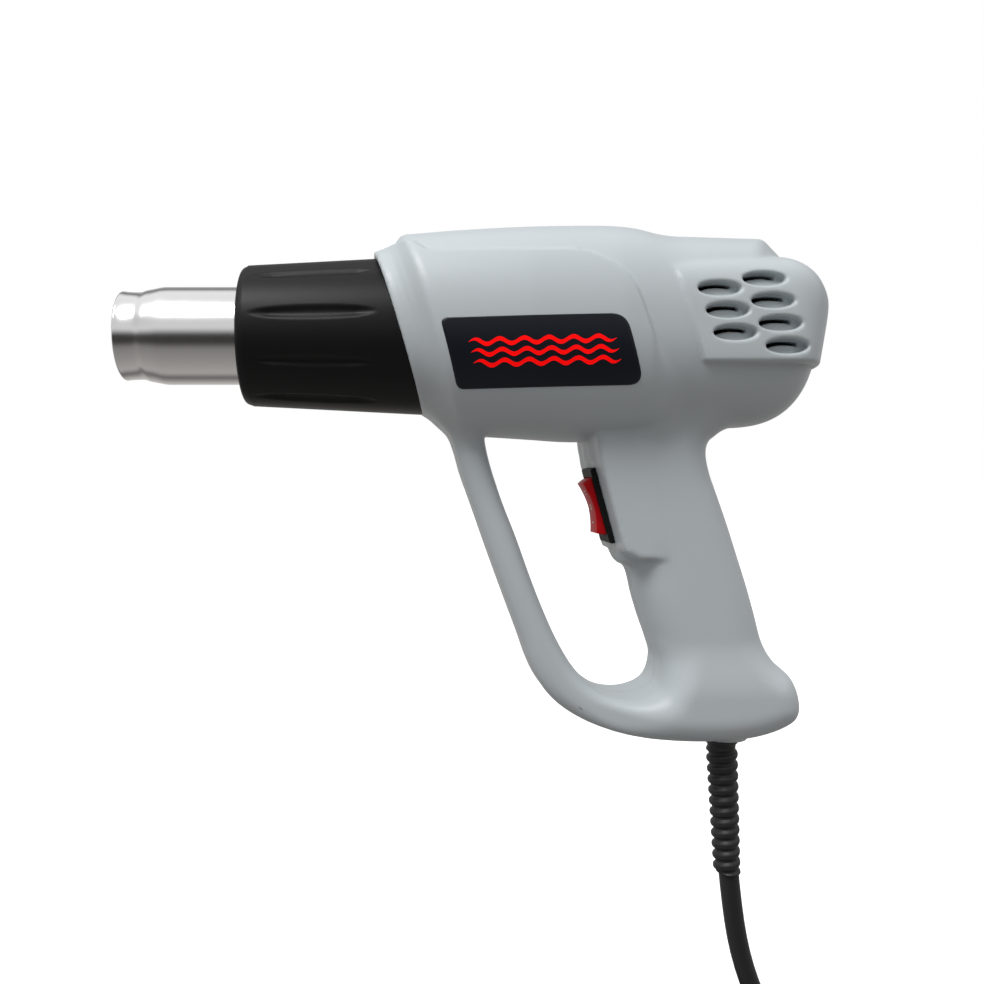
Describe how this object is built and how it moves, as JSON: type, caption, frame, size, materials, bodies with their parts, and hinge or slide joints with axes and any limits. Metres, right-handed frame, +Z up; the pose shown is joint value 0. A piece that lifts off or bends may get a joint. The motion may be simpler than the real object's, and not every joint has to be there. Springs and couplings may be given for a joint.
{
  "type": "heat gun",
  "caption": "Pistol-grip electric hot-air gun: steel nozzle, black heat shield, grey clamshell body with a closed finger guard, rocker switch, fan and heater inside, mains cord.",
  "frame": {"origin": "centre of the grip, in the plane where the two housing halves meet", "axes": "+Z up with the air axis level, -X along the hot air jet towards the nozzle's mouth, +Y to the tool's right-hand housing half"},
  "size_m": [0.2716, 0.0766, 0.4374],
  "materials": {
    "housing_plastic": "satin moulded, light cool grey",
    "shield_plastic": "satin black, heat resistant",
    "nozzle_steel": "polished stainless tube",
    "zinc_steel": "zinc plated",
    "ceramic": "matt, off-white",
    "mica": "matt, speckled",
    "heating_wire": "oxidised",
    "duct_plastic": "matt",
    "fan_plastic": "matt",
    "motor_steel": "plated",
    "bronze": "sintered",
    "magnet": "matt",
    "laminations": "varnished",
    "copper": "bare",
    "carbon": "matt",
    "board": "lacquered",
    "black_plastic": "fine grain",
    "red_plastic": "glossy",
    "brass": "tinned",
    "film_capacitor": "resin dipped",
    "terminal_plastic": "matt",
    "wire_sleeve": "matt",
    "label": "printed film",
    "boot_rubber": "matt black",
    "cord_rubber": "matt black",
    "tie_plastic": "matt black",
    "plug_plastic": "moulded black",
    "plug_metal": "nickel plated"
  },
  "bodies": {
    "gun": {"housing_left": "housing_plastic", "housing_right": "housing_plastic", "side_label_left": "label", "side_label_right": "label", "housing_screws": "zinc_steel", "nozzle_tube": "nozzle_steel", "heat_shield": "shield_plastic", "outlet_grille": "ceramic", "mica_sleeve": "mica", "heater_former": "mica", "heater_windings": "heating_wire", "heater_base": "ceramic", "heater_bracket": "zinc_steel", "heater_screws": "zinc_steel", "thermal_fuse": "brass", "air_duct": "duct_plastic", "motor_bearings": "bronze", "motor_can": "motor_steel", "motor_end_cap": "duct_plastic", "motor_magnets": "magnet", "motor_brushes": "carbon", "motor_mount": "zinc_steel", "motor_screws": "zinc_steel", "rectifier_board": "board", "rectifier_diodes": "black_plastic", "switch_body": "black_plastic", "switch_terminals": "brass", "capacitor": "film_capacitor", "terminal_block": "terminal_plastic", "cord_clamp": "black_plastic", "cord_clamp_screws": "zinc_steel", "grip_wires": "wire_sleeve", "heater_wires": "wire_sleeve", "motor_wires": "wire_sleeve", "cord_boot": "boot_rubber", "mains_cord": "cord_rubber", "cord_coil": "cord_rubber", "coil_tie": "tie_plastic", "cord_tail": "cord_rubber", "plug_body": "plug_plastic", "plug_pins": "plug_metal"},
    "rocker": {"switch_rocker": "red_plastic"},
    "rotor": {"fan_impeller": "fan_plastic", "motor_shaft": "motor_steel", "motor_armature": "laminations", "armature_windings": "copper", "commutator": "copper"}
  },
  "joints": [
    {"name": "rocker_tilt", "type": "hinge", "parent": "gun", "child": "rocker", "pos_m": [-0.02868, 0, 0.02035], "axis": [0, 1, 0], "range_deg": [-11, 11]},
    {"name": "fan_spin", "type": "hinge", "parent": "gun", "child": "rotor", "pos_m": [-0.04, 0, 0.0815], "axis": [-1, 0, 0], "continuous": true}
  ]
}
